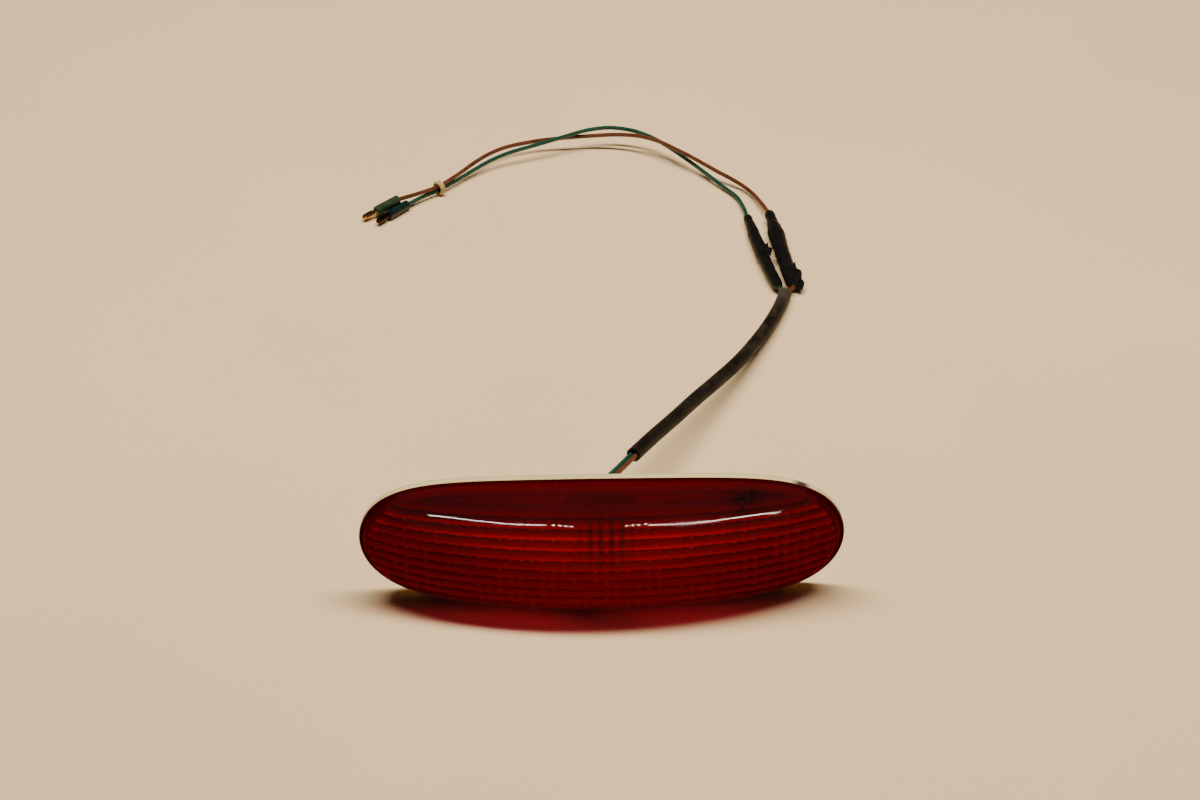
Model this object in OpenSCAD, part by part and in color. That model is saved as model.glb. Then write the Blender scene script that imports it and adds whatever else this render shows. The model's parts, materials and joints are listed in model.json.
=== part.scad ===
// High-mount stop lamp with its bulb, quarter-turn bulb holder and taped harness.
// Millimetres. X runs along the lamp, +Y points out of its mounting face, +Z is up.
// The lamp stands on z = 0, and the free leads lie on that plane behind it.

/* [Lens] */
// Length of the lens
lens_w = 250; // [230:1:270]
// Height of the lens
lens_h = 72; // [70:1:76]
// How square the ends of the outline are, 2 being an ellipse
end_power = 6.5; // [5:0.5:9]
// How much the long edges of the outline fall away towards the ends
edge_fall = 0.045; // [0:0.005:0.06]
// How far the lens stands out of the joint plane at its middle
lens_depth = 29.5; // [29.5:0.5:34]
// Share of that depth lost between the middle and the ends
bow = 0.8; // [0.7:0.01:0.81]
// How far the face leans back: the depth lost at its top and gained at its bottom
face_lean = 0.4; // [0:0.05:0.4]
// How square the upper shoulder is, 2 being an ellipse
crown_top = 2.4; // [2.3:0.05:3]
// How square the lower shoulder is
crown_bottom = 2.25; // [2.2:0.05:3]
// Wall of the lens
lens_wall = 3; // [2.6:0.1:3]
// How far the tongue of the lens enters the housing groove
tongue_h = 1.8; // [1.2:0.1:1.8]

/* [Housing] */
// Depth of the housing rim behind the lens
rim_h = 3.6; // [3.6:0.1:4.2]
// How far the housing outline lies inside the lens outline
rim_inset = 0.4; // [0:0.1:0.6]
// Thickness of the housing plate
plate_t = 2; // [1.8:0.1:2]
// Thickness of the foam gasket
gasket_t = 1.6; // [1.6:0.1:2.4]
// Width of the foam gasket
gasket_w = 8; // [5:0.5:9]

/* [Fasteners] */
// Distance between the two mounting studs
stud_pitch = 160; // [150:1:170]
// Diameter of the mounting studs
stud_d = 5; // [4:0.5:5]
// Length of stud that stands out of the mounting face
stud_out = 17; // [10:0.5:22]
// Distance between the two reflector screws
screw_pitch = 104; // [100:1:106]

/* [Bulb] */
// Largest diameter of the glass
glass_d = 26.5; // [25:0.5:26.5]
// Length of the bulb from its contact to the top of the glass
bulb_len = 50; // [49:0.5:51]
// Diameter of the metal cap
cap_d = 15; // [14.8:0.1:15]
// Width across the two bayonet pins
pins_w = 16.9; // [16.5:0.1:17]

/* [Holder] */
// Diameter of the neck that turns in the housing
neck_d = 29; // [28.5:0.1:29]
// Radial running clearance of that neck
neck_fit = 0.05; // [0.02:0.01:0.1]
// Diameter of the rear barrel
barrel_d = 24; // [22:0.5:25]
// Distance from the joint plane to the rear end of the holder
holder_reach = 35; // [35:0.5:37]
// Turn that frees the holder from the housing
holder_turn = 45; // [40:1:50]
// Turn that frees the bulb from its shell
bulb_turn = 18; // [15:1:20]
// How far the bulb can be pushed in
push = 2; // [1.5:0.1:2.2]

/* [Leads] */
// Diameter of one insulated wire
wire_d = 2.6; // [2.2:0.1:2.6]
// Outer diameter of the harness tube
tube_d = 8; // [7.6:0.1:8]
// Bore of the harness tube
tube_bore = 5.8; // [5.6:0.1:6]
// Diameter of a bullet terminal sleeve
sleeve_d = 6; // [5.4:0.1:6]
// Length of a bullet terminal sleeve
sleeve_len = 17; // [14:0.5:18]
// Diameter of a bullet pin
bullet_d = 4; // [3.6:0.1:4]
// Length of a bullet pin outside its sleeve
bullet_len = 10; // [9:0.5:11]

/* [Hidden] */
$fn = 64;

// Everything of the lamp is drawn about its own centre, with y = 0 at the plane
// where the lens meets the housing, and placed by lamp().
half_w = lens_w / 2;
half_h = lens_h / 2;
end_steps = 10;
flank_steps = 8;
flank_share = 0.8;
dome_steps = 13;
dome_top = 88;

// How far the leaning face stands out, and the plane that centres the lamp on y = 0.
lens_out = lens_depth * max([
  for (angle = [0 : 90])
    pow(sin(angle), 2 / crown_bottom) * (1 + face_lean * pow(cos(angle), 2 / crown_bottom))
]);
joint_y = round(lens_out - holder_reach) / 2;

tongue_out = 1.5;
tongue_gap = 0.1;
groove_in = 3.4;
lip_in = 4.8;
seal_t = 0.4;
back_y = rim_h + gasket_t;
plate_y = rim_h - plate_t;
slack = 0.05;

boss_r = 20;
boss_y = rim_h + 2.4;
tab_r = 17;
tab_w = 9;
tab_gap = 0.1;
tab_t = 1.3;
notch_slack = 0.4;
tab_angles = [-90, 30, 150];
stop_turn = -23;

stud_head_t = 2.4;
stud_head_r = 4.6;
stud_boss_r = 7;
collar_step = 0.2;
collar_proud = 0.2;
stud_boss_front = -1.2;
pad_r = 8;
post_r = 3.5;
screw_head_r = 3;
screw_head_t = 1.4;
screw_shank_r = 1.05;

reflector_y = -3.2;
reflector_t = 1.4;
reflector_hole_r = 18.5;
reflector_end_gap = 14;
reflector_edge_gap = 5.5;
bowl_r = 28;
bowl_focus = 20;
bowl_steps = 8;
facet_w = 12;
facet_h = 2.2;
facet_x0 = 58;
facet_pitch = 13;
facet_count = 4;

contact_y = 25;
glass_t = 0.8;
glass_r = glass_d / 2;
glass_y = contact_y - bulb_len + glass_r;
glass_neck_r = 6.9;
glass_neck_y = 0.6;
glass_end_y = 12;
glass_steps = 16;
cap_t = 0.4;
cap_front_y = 7;
cap_rear_y = 21.5;
insulator_rear_y = 23.3;
pin_r = 1;
pin_y = 15.8;
filament_y = -16;
filament_len = 6;
support_r = 0.3;
support_foot = 1.5;

seal_h = 1.35;
flange_r = 19;
flange_t = 2.6;
flange_y = boss_y + slack + seal_h;
barrel_y = flange_y + flange_t;
shell_in = cap_d / 2 + 0.35;
shell_out = 8.6;
shell_y0 = 2;
mouth_flare = 1.7;
shell_y1 = 29;
slot_slack = 0.2;
grommet_flange_t = 0.8;
rear_wall_t = 1.8;
rear_y = holder_reach - grommet_flange_t;
cavity_y = rear_y - rear_wall_t;
grommet_r = 4;
grommet_flange_r = 5.4;
wire_gap = 1.4;

disc_r = 7.5;
disc_t = 1.6;
plunger_flange_t = 0.6;
plunger_flange_r = 4;
plunger_stem_r = 1.6;
disc_y = contact_y + plunger_flange_t;
spring_y0 = disc_y + disc_t;
spring_r = 4.6;
spring_wire_r = 0.4;
spring_turns = 3;

// Centre lines of the free harness, in the row's own frame. They lie on z = 0,
// except where the tube comes down from the holder and where the leads arch up.
exit_y = joint_y + holder_reach;
exit_route = [
  [0, exit_y, half_h], [0, exit_y + 7, half_h], [4, exit_y + 15, 35], [10, exit_y + 29, 31.5]
];
tube_route = [
  [17, 80, 27], [29, 103, 23.5], [41, 125, 20], [53, 147, 17], [66, 170, 13.5],
  [78, 192, 10.5], [89, 216, 7.5], [98, 238, 5.5], [105, 258, 4.4], [109, 273, 4.2]
];
splice_green_route = [
  [105.6, 279, 4.2], [103.9, 285, 4.1], [101, 297, 4.1], [97, 317, 4],
  [93.5, 338, 3.8], [91, 355, 3.2], [90, 361, 3]
];
splice_green_r = [2.4, 3.6, 3.8, 4, 3.8, 2.8, 2.5];
splice_brown_route = [
  [114, 279, 4.6], [113.4, 285, 4.7], [111.6, 299, 5], [109, 318, 5.2],
  [107, 335, 5.4], [104.6, 356, 5], [103.6, 362, 5]
];
splice_brown_r = [2.6, 4, 4.4, 4.6, 5.2, 3.2, 2.7];
lead_green_route = [
  [90, 361, 3], [88, 374, 2.6], [84, 388, 2.2], [76, 400, 2.6], [67, 412, 4], [58, 423, 5.6],
  [49, 433.5, 7.2], [40, 443, 8.8], [31, 450.5, 10.4], [19, 456, 12.2], [5, 458.5, 13],
  [-9, 456, 13], [-23, 450.5, 12], [-40, 443.5, 10.5], [-59, 436.5, 8.6], [-71, 430.5, 6.6],
  [-82, 422, 4.6], [-93, 411, 3.4], [-103, 400.5, 3.2], [-113.5, 392, 3.2], [-122.5, 383, 3.2]
];
lead_brown_route = [
  [103.6, 362, 5], [99.5, 376, 4], [94.5, 389, 3.4], [89, 398, 3.6], [82, 404.5, 5],
  [73, 411, 7], [64, 418, 9], [55, 425.5, 10.6], [46, 433, 11.6], [36, 441.5, 12.2],
  [23, 449, 12], [8, 453.5, 10.6], [-8, 454.5, 9.4], [-24, 454, 8.6], [-41, 452, 8],
  [-60, 446, 7.6], [-72, 438, 7.2], [-82, 427, 6.8], [-92, 413.5, 6.3], [-103, 400.5, 6],
  [-115, 391.5, 6.4], [-128, 384, 6.6]
];
sleeve_green_dir = [-0.66, -0.751, 0];
sleeve_brown_dir = [-0.8, -0.583, -0.14];
ring_at = [-103, 400.5, 4.6];
ring_dir = [-0.73, -0.683, 0];
ring_r = 4.6;
ring_bore_r = 2.85;
ring_w = 3.6;
tube_sides = 10;
wire_sides = 8;

/* Outlines */

// Half height of the lens outline at a distance u from its middle, both as shares.
function outline_height(u) =
  (1 - edge_fall * u * u) * sqrt(max(0, 1 - pow(u, end_power)));

// Distances from the middle, from 0 to 1, closer together round the end.
quarter =
  let (turn = asin(pow(flank_share, end_power / 2)))
  concat(
    [for (i = [0 : flank_steps]) flank_share * i / flank_steps],
    [for (i = [1 : end_steps])
      pow(sin(turn + (90 - turn) * i / end_steps), 2 / end_power)]
  );
quarter_n = flank_steps + end_steps;

// The outline as shares of its half sizes, from the right end over the top.
unit_outline = concat(
  [for (i = [quarter_n : -1 : 1]) [quarter[i], outline_height(quarter[i])]],
  [for (i = [0 : quarter_n - 1]) [-quarter[i], outline_height(quarter[i])]],
  [for (i = [quarter_n : -1 : 1]) [-quarter[i], -outline_height(quarter[i])]],
  [for (i = [0 : quarter_n - 1]) [quarter[i], -outline_height(quarter[i])]]
);

function oval(a, b) = [for (p = unit_outline) [a * p[0], b * p[1]]];
function lens_oval(inset) = oval(half_w - inset, half_h - inset);

// Squareness of the dome's shoulder, which changes smoothly from bottom to top.
function crown(share) =
  (crown_top + crown_bottom) / 2 + (crown_top - crown_bottom) / 2 * share;

// One ring of the dome: angle 0 is the joint plane and 90 is the crest of the front.
function dome_ring(inset, angle) =
  let (a = half_w - inset, b = half_h - inset)
  [for (p = unit_outline)
    let (m = crown(p[1]),
         shrink = pow(cos(angle), 2 / m),
         x = p[0] * (a - b * (1 - shrink)),
         z = p[1] * b * shrink,
         depth = lens_depth * (1 - bow * pow(x / half_w, 2)) - inset,
         lean = 1 - face_lean * z / half_h)
    [x, -depth * lean * pow(sin(angle), 2 / m), z]];

function flat_ring(inset, y) = [for (p = lens_oval(inset)) [p[0], y, p[1]]];

/* Solids from rings */

function unit(v) = v / norm(v);
function heading(route, i) =
  unit(route[min(i + 1, len(route) - 1)] - route[max(i - 1, 0)]);
function sideways(route, i) = unit(cross(heading(route, i), [0, 0, 1]));

// One ring of a swept tube, square to its centre line.
function tube_ring(route, i, radius, sides) =
  let (side = sideways(route, i), up = cross(side, heading(route, i)))
  [for (k = [0 : sides - 1])
    route[i] + radius * (cos(360 * k / sides) * side + sin(360 * k / sides) * up)];

// A centre line that runs beside another one, at a level sideways distance.
function beside(route, distance) =
  [for (i = [0 : len(route) - 1]) route[i] + distance * sideways(route, i)];

function joined(rings) = [for (ring = rings) each ring];

function band_faces(count, first, second) =
  [for (k = [0 : count - 1])
    let (n = (k + 1) % count) each [
      [first + k, first + n, second + n],
      [first + k, second + n, second + k]
    ]];

// Closed skin through rings of equal size, with a point at each end.
module capped_skin(start, rings, finish) {
  count = len(rings[0]);
  last = len(rings) * count + 1;
  faces = concat(
    [for (k = [0 : count - 1]) [0, 1 + (k + 1) % count, 1 + k]],
    [for (i = [0 : len(rings) - 2])
      each band_faces(count, 1 + i * count, 1 + (i + 1) * count)],
    [for (k = [0 : count - 1])
      [last, last - count + k, last - count + (k + 1) % count]]
  );
  polyhedron(points = concat([start], joined(rings), [finish]), faces = faces);
}

// Faces that close a ring of the outline from its upper edge straight to its lower.
function zip_faces(first) =
  let (count = len(unit_outline))
  concat(
    [[first, first + 1, first + count - 1]],
    [for (k = [1 : count / 2 - 2]) each [
      [first + k, first + k + 1, first + count - k - 1],
      [first + k, first + count - k - 1, first + count - k]
    ]],
    [[first + count / 2 - 1, first + count / 2, first + count / 2 + 1]]
  );

function flipped(faces) = [for (f = faces) [f[0], f[2], f[1]]];

// Closed skin through rings of the outline, zipped shut at both ends.
module zipped_skin(rings) {
  count = len(unit_outline);
  last = len(rings) - 1;
  faces = concat(
    flipped(zip_faces(0)),
    [for (i = [0 : last - 1]) each band_faces(count, i * count, (i + 1) * count)],
    zip_faces(last * count)
  );
  polyhedron(points = joined(rings), faces = faces);
}

// Closed skin through rings that return to the first one, like a pipe wall.
module looped_skin(rings) {
  count = len(rings[0]);
  faces = [for (i = [0 : len(rings) - 1])
    each band_faces(count, i * count, ((i + 1) % len(rings)) * count)];
  polyhedron(points = joined(rings), faces = faces);
}

// A round cord along a route, with one radius for each point.
module cord(route, radii, sides) {
  rings = [for (i = [0 : len(route) - 1]) tube_ring(route, i, radii[i], sides)];
  capped_skin(route[0], rings, route[len(route) - 1]);
}

module wire(route) {
  cord(route, [for (p = route) wire_d / 2], wire_sides);
}

/* Placing */

module lamp() {
  translate([0, joint_y, half_h]) children();
}

// Turns a shape drawn along +Z so that it runs along the lamp's +Y.
module turned() {
  lamp() rotate([-90, 0, 0]) children();
}

// Extrudes an outline drawn in the lamp's X and Z from one depth to another.
module slab(y0, y1) {
  translate([0, y1, 0]) rotate([90, 0, 0]) linear_extrude(y1 - y0) children();
}

module oval_slab(inset, y0, y1) {
  slab(y0, y1) polygon(lens_oval(inset));
}

module oval_ring(outer, inner, y0, y1) {
  slab(y0, y1) difference() {
    polygon(lens_oval(outer));
    polygon(lens_oval(inner));
  }
}

module pair(pitch) {
  for (side = [-1, 1]) translate([side * pitch / 2, 0, 0]) children();
}

module rod_y(r, y0, y1) {
  translate([0, y0, 0]) rotate([-90, 0, 0]) cylinder(r = r, h = y1 - y0);
}

// A round rod between two points.
module rod_between(from, to, r) {
  along = to - from;
  tilt = acos(along[2] / norm(along));
  translate(from)
    rotate([0, tilt, atan2(along[1], along[0])])
      cylinder(r = r, h = norm(along), $fn = 24);
}

// Points a shape drawn along +Z in the direction of a vector.
module aimed(at, dir) {
  translate(at)
    rotate([0, acos(dir[2] / norm(dir)), atan2(dir[1], dir[0])])
      children();
}

/* Lens and housing */

module lens() {
  outer = [for (i = [dome_steps : -1 : 0]) dome_ring(0, dome_top * i / dome_steps)];
  tongue = [
    flat_ring(tongue_out, 0), flat_ring(tongue_out, tongue_h), flat_ring(lens_wall, tongue_h)
  ];
  inner = [for (i = [0 : dome_steps]) dome_ring(lens_wall, dome_top * i / dome_steps)];
  color("darkred") lamp() zipped_skin(concat(outer, tongue, inner));
}

module lens_seal() {
  color("dimgray") lamp()
    oval_ring(tongue_out, lens_wall, tongue_h, tongue_h + seal_t);
}

module holder_notches() {
  rotate([-90, 0, 0])
    for (a = tab_angles)
      rotate(a + holder_turn)
        translate([0, -tab_w / 2 - notch_slack, plate_y - 1])
          cube([tab_r + notch_slack, tab_w + 2 * notch_slack, boss_y - plate_y + 2]);
}

module stop_lugs() {
  rotate([-90, 0, 0])
    for (a = tab_angles)
      rotate(a + stop_turn)
        translate([neck_d / 2 + 1, -1, plate_y - tab_t])
          cube([2, 2, tab_t]);
}

module housing() {
  hole_r = neck_d / 2 + neck_fit;
  color("antiquewhite") lamp() difference() {
    union() {
      oval_ring(rim_inset, lip_in, 0, rim_h);
      oval_slab(lip_in - 1, plate_y, rim_h);
      rod_y(boss_r, plate_y, boss_y);
      stop_lugs();
      pair(stud_pitch) {
        rod_y(stud_boss_r, stud_boss_front, rim_h);
        rod_y(pad_r, rim_h - 1, back_y);
      }
      pair(screw_pitch) rod_y(post_r, reflector_y + reflector_t, rim_h);
      for (x = [32, 44, 62, 98], side = [-1, 1])
        translate([side * x - 0.6, rim_h - 1, -20]) cube([1.2, 2.2, 40]);
    }
    oval_ring(tongue_out - tongue_gap, groove_in, -1, tongue_h + seal_t);
    rod_y(hole_r, plate_y - 1, boss_y + 1);
    holder_notches();
    pair(stud_pitch) {
      rod_y(stud_d / 2 + collar_step + slack, stud_boss_front - 1, back_y + 1);
      translate([0, stud_boss_front - 1, 0]) rotate([-90, 0, 0])
        cylinder(r = stud_head_r + slack, h = stud_head_t + 1, $fn = 6);
    }
    pair(screw_pitch) rod_y(screw_shank_r + slack, reflector_y, plate_y);
  }
}

module mounting_gasket() {
  color("gainsboro") lamp() oval_ring(rim_inset + 0.6, rim_inset + 0.6 + gasket_w, rim_h, back_y);
}

module mounting_studs() {
  shank_end = back_y + stud_out;
  chamfer = 0.7;
  color("silver") lamp() pair(stud_pitch) {
    translate([0, stud_boss_front, 0]) rotate([-90, 0, 0])
      cylinder(r = stud_head_r, h = stud_head_t, $fn = 6);
    rod_y(stud_d / 2 + collar_step, stud_boss_front, back_y + collar_proud);
    rod_y(stud_d / 2, stud_boss_front, shank_end - chamfer);
    translate([0, shank_end - chamfer, 0]) rotate([-90, 0, 0])
      cylinder(r1 = stud_d / 2, r2 = stud_d / 2 - chamfer, h = chamfer);
  }
}

/* Reflector */

function bowl_y(r) =
  reflector_y + reflector_t - (r * r - reflector_hole_r * reflector_hole_r) / (4 * bowl_focus);

function bowl_radius(i) =
  reflector_hole_r + (bowl_r - reflector_hole_r) * i / bowl_steps;

module reflector_bowl() {
  front = [for (i = [0 : bowl_steps]) [bowl_radius(i), bowl_y(bowl_radius(i)) - reflector_t]];
  back = [for (i = [bowl_steps : -1 : 0]) [bowl_radius(i), bowl_y(bowl_radius(i))]];
  rotate([-90, 0, 0]) rotate_extrude() polygon(concat(front, back));
  difference() {
    rod_y(bowl_r, bowl_y(bowl_r), reflector_y + reflector_t);
    rod_y(bowl_r - reflector_t, bowl_y(bowl_r) - 1, reflector_y + reflector_t + 1);
  }
}

module reflector_facets() {
  for (side = [-1, 1], i = [0 : facet_count - 1]) {
    x0 = facet_x0 + facet_pitch * i;
    translate([0, 0, -half_h]) linear_extrude(lens_h)
      polygon([
        [side * x0, reflector_y + slack],
        [side * (x0 + facet_w), reflector_y + slack],
        [side * (x0 + facet_w), reflector_y - facet_h]
      ]);
  }
}

module reflector_outline() {
  polygon(oval(half_w - reflector_end_gap, half_h - reflector_edge_gap));
}

module reflector() {
  color("lightgray") lamp() difference() {
    union() {
      difference() {
        slab(reflector_y, reflector_y + reflector_t) reflector_outline();
        rod_y(bowl_r - slack, reflector_y - 1, 0);
      }
      intersection() {
        reflector_facets();
        slab(reflector_y - 2 * facet_h, reflector_y + reflector_t) reflector_outline();
      }
      reflector_bowl();
    }
    pair(screw_pitch) rod_y(screw_shank_r + 0.4, reflector_y - 1, 0);
  }
}

module reflector_screws() {
  shank_end = plate_y - 0.6;
  color("silver") lamp() pair(screw_pitch) difference() {
    union() {
      rod_y(screw_head_r, reflector_y - screw_head_t, reflector_y);
      rod_y(screw_shank_r, reflector_y - screw_head_t, shank_end);
    }
    for (turn = [0, 90]) rotate([0, turn, 0])
      translate([-1.6, reflector_y - screw_head_t - 1, -0.35]) cube([3.2, 1.8, 0.7]);
  }
}

/* Bulb */

function glass_arc(radius, i, open_angle) =
  let (a = 180 - (180 - open_angle) * i / glass_steps)
  [radius * sin(a), glass_y + radius * cos(a)];

module bulb_glass() {
  open_angle = asin(glass_neck_r / glass_r) + 5;
  outer = [for (i = [0 : glass_steps]) glass_arc(glass_r, i, open_angle)];
  inner = [for (i = [glass_steps : -1 : 0]) glass_arc(glass_r - glass_t, i, open_angle)];
  neck = [
    [glass_neck_r, glass_neck_y], [glass_neck_r, glass_end_y],
    [glass_neck_r - glass_t, glass_end_y], [glass_neck_r - glass_t, glass_neck_y]
  ];
  color("whitesmoke", 0.5) turned() rotate_extrude() polygon(concat(outer, neck, inner));
}

module bulb_cap() {
  r = cap_d / 2;
  color("darkkhaki") turned() {
    rotate_extrude() polygon([
      [r - cap_t, cap_front_y], [r, cap_front_y], [r, cap_rear_y - 0.5],
      [r - 0.5, cap_rear_y], [6, cap_rear_y], [6, cap_rear_y - cap_t],
      [r - cap_t, cap_rear_y - cap_t]
    ]);
    for (a = [0, 180]) rotate(a)
      translate([r - cap_t / 2, 0, pin_y]) rotate([0, 90, 0])
        cylinder(r = pin_r, h = pins_w / 2 - r + cap_t / 2, $fn = 32);
  }
}

module bulb_insulator() {
  color("black") turned() rotate_extrude() polygon([
    [0, cap_rear_y - cap_t - 0.6], [5.9, cap_rear_y - cap_t - 0.6],
    [5.9, cap_rear_y], [3, insulator_rear_y], [0, insulator_rear_y]
  ]);
}

module bulb_contact() {
  color("silver") turned() rotate_extrude() polygon([
    [0, insulator_rear_y], [2.5, insulator_rear_y], [2.3, contact_y - 0.7],
    [1.4, contact_y], [0, contact_y]
  ]);
}

module bulb_stem() {
  flare_r = glass_neck_r - glass_t - 0.1;
  color("whitesmoke", 0.6) turned() rotate_extrude() polygon([
    [0, 1], [1.9, 1], [2.4, 2], [2.4, 6], [flare_r, 10.4], [flare_r, glass_end_y],
    [0, glass_end_y]
  ]);
}

module bulb_supports() {
  color("gray") lamp() for (side = [-1, 1])
    rod_between(
      [side * support_foot, 1, 0], [side * filament_len / 2, filament_y + 0.2, 0], support_r);
}

// A round wire wound into a helix along +Z.
module helix(turns, length, coil_r, wire_r, steps, sides) {
  count = turns * steps;
  route = [for (i = [0 : count])
    [coil_r * cos(360 * i / steps), coil_r * sin(360 * i / steps), length * i / count]];
  rings = [for (i = [0 : count])
    let (a = 360 * i / steps)
    [for (k = [0 : sides - 1])
      let (b = 360 * k / sides)
      route[i] + wire_r * (cos(b) * [cos(a), sin(a), 0] + sin(b) * [0, 0, 1])]];
  capped_skin(route[0], rings, route[count]);
}

module bulb_filament() {
  color("dimgray") lamp() translate([-filament_len / 2, filament_y - 0.55, 0])
    rotate([0, 90, 0]) helix(8, filament_len, 0.45, 0.13, 10, 5);
}

/* Holder */

module holder_tabs() {
  intersection() {
    translate([0, 0, plate_y - tab_gap - tab_t]) cylinder(r = tab_r, h = tab_t);
    for (a = tab_angles) rotate(a)
      translate([neck_d / 2 - 1, -tab_w / 2, 0]) cube([tab_r, tab_w, plate_y]);
  }
}

module holder_body() {
  wing_l = 16;
  wing_t = 2.5;
  color("slategray") turned() difference() {
    union() {
      cylinder(r = neck_d / 2, h = flange_y + slack);
      holder_tabs();
      translate([0, 0, flange_y]) cylinder(r = flange_r, h = flange_t);
      translate([0, 0, barrel_y - slack])
        cylinder(r = barrel_d / 2, h = rear_y - barrel_y + slack - 1);
      translate([0, 0, rear_y - 1])
        cylinder(r1 = barrel_d / 2, r2 = barrel_d / 2 - 1, h = 1);
      translate([-tab_r, -wing_t / 2, barrel_y - slack]) cube([2 * tab_r, wing_t, wing_l]);
    }
    translate([0, 0, -1]) cylinder(r = shell_out + slack, h = cavity_y + 1);
    translate([0, 0, -mouth_flare])
      cylinder(r1 = shell_out + 2 * mouth_flare, r2 = shell_out, h = 2 * mouth_flare);
    translate([0, 0, cavity_y - 1]) cylinder(r = grommet_r, h = rear_wall_t + 2);
  }
}

module holder_seal() {
  color("black") turned() translate([0, 0, boss_y + slack]) difference() {
    cylinder(r = flange_r - 0.3, h = seal_h);
    translate([0, 0, -1]) cylinder(r = neck_d / 2 + 0.02, h = seal_h + 2);
  }
}

// Window in the shell that a bayonet pin moves in: a straight way in from the front
// edge, and a turn at its end that leaves room for the push.
module bayonet_window() {
  low = pin_y - pin_r - slot_slack;
  high = pin_y + pin_r + push + slot_slack;
  half_slot = pin_r + slot_slack;
  spread = asin(half_slot / shell_in) + 2;
  inner = shell_in - 3;
  outer = shell_out + 3;
  rotate(-bulb_turn)
    translate([inner, -half_slot, shell_y0 - 1])
      cube([outer - inner, 2 * half_slot, low - shell_y0 + 2]);
  translate([0, 0, low]) linear_extrude(high - low)
    polygon([
      inner * [cos(-bulb_turn - spread), sin(-bulb_turn - spread)],
      outer * [cos(-bulb_turn - spread), sin(-bulb_turn - spread)],
      outer * [1, 0],
      outer * [cos(spread), sin(spread)],
      inner * [cos(spread), sin(spread)]
    ]);
}

module holder_shell() {
  color("goldenrod") turned() rotate(90) difference() {
    translate([0, 0, shell_y0]) cylinder(r = shell_out, h = shell_y1 - shell_y0);
    translate([0, 0, shell_y0 - 1]) cylinder(r = shell_in, h = shell_y1 - shell_y0 + 2);
    for (a = [-90, 90]) rotate(a) bayonet_window();
  }
}

module holder_grommet() {
  color("black") turned() difference() {
    union() {
      translate([0, 0, cavity_y]) cylinder(r = grommet_r, h = rear_wall_t);
      translate([0, 0, rear_y]) cylinder(r = grommet_flange_r, h = grommet_flange_t);
    }
    for (side = [-1, 1])
      translate([side * wire_gap, 0, cavity_y - 1]) cylinder(r = wire_d / 2, h = rear_wall_t + 3);
  }
}

module holder_leads() {
  tail = 1.4;
  for (side = [-1, 1])
    color(side > 0 ? "darkgreen" : "saddlebrown") turned()
      translate([side * wire_gap, 0, cavity_y - tail])
        cylinder(r = wire_d / 2, h = holder_reach - cavity_y + tail);
}

module plunger_disc() {
  color("peru") turned() translate([0, 0, disc_y]) difference() {
    cylinder(r = disc_r, h = disc_t);
    translate([0, 0, -1]) cylinder(r = plunger_stem_r, h = disc_t + 2);
  }
}

module plunger_contact() {
  color("gold") turned() {
    translate([0, 0, contact_y]) cylinder(r = plunger_flange_r, h = plunger_flange_t);
    translate([0, 0, contact_y]) cylinder(r = plunger_stem_r, h = plunger_flange_t + disc_t + 0.6);
  }
}

module contact_spring() {
  length = cavity_y - spring_y0 - 2 * spring_wire_r;
  color("silver") turned() translate([0, 0, spring_y0 + spring_wire_r])
    helix(spring_turns, length, spring_r, spring_wire_r, 16, 6);
}

/* Harness */

module pigtail(side, splice_start, splice_next) {
  into_splice = unit(splice_next - splice_start);
  wire(concat(
    beside(exit_route, side * wire_gap),
    beside(tube_route, side * wire_gap),
    [splice_start - 2.5 * into_splice, splice_start]
  ));
}

module pigtail_green() {
  color("darkgreen") pigtail(-1, splice_green_route[0], splice_green_route[1]);
}

module pigtail_brown() {
  color("saddlebrown") pigtail(1, splice_brown_route[0], splice_brown_route[1]);
}

module harness_tube() {
  last = len(tube_route) - 1;
  color("black") looped_skin(concat(
    [for (i = [0 : last]) tube_ring(tube_route, i, tube_d / 2, tube_sides)],
    [for (i = [last : -1 : 0]) tube_ring(tube_route, i, tube_bore / 2, tube_sides)]
  ));
}

module splice_green() {
  color("black") cord(splice_green_route, splice_green_r, tube_sides);
}

module splice_brown() {
  color("black") cord(splice_brown_route, splice_brown_r, tube_sides);
}

module lead_green() {
  color("darkgreen") wire(lead_green_route);
}

module lead_brown() {
  color("saddlebrown") wire(lead_brown_route);
}

module wire_ring() {
  rim = (ring_r - ring_bore_r) / 2;
  color("khaki") aimed(ring_at, ring_dir) rotate_extrude() {
    square_w = ring_w - 2 * rim;
    translate([ring_bore_r, -square_w / 2]) square([2 * rim, square_w]);
    for (end = [-1, 1]) translate([ring_bore_r + rim, end * square_w / 2]) circle(r = rim, $fn = 24);
  }
}

module bullet_sleeve(at, dir) {
  crimp_bore = 9;
  aimed(at, dir) difference() {
    cylinder(r = sleeve_d / 2, h = sleeve_len, $fn = 32);
    translate([0, 0, sleeve_len - crimp_bore])
      cylinder(r = bullet_d / 2 - 0.05, h = crimp_bore + 1, $fn = 32);
  }
}

// A crimped shank inside the sleeve, a waist, and a straight body with a round nose.
module bullet_pin(at, dir) {
  r = bullet_d / 2;
  shank = 8;
  aimed(at, dir) translate([0, 0, sleeve_len]) rotate_extrude($fn = 48) polygon([
    [0, -shank], [r - 0.1, -shank], [r - 0.1, 0.6], [r - 0.5, 0.9], [r - 0.5, 2.1], [r, 2.4],
    [r, bullet_len - 2.4], [r - 0.25, bullet_len - 1.3], [r - 0.8, bullet_len - 0.4],
    [0.7, bullet_len], [0, bullet_len]
  ]);
}

module bullet_sleeve_green() {
  color("darkslategray") bullet_sleeve(lead_green_route[len(lead_green_route) - 1], sleeve_green_dir);
}

module bullet_sleeve_brown() {
  color("darkslategray") bullet_sleeve(lead_brown_route[len(lead_brown_route) - 1], sleeve_brown_dir);
}

module bullet_pin_green() {
  color("saddlebrown") bullet_pin(lead_green_route[len(lead_green_route) - 1], sleeve_green_dir);
}

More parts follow.
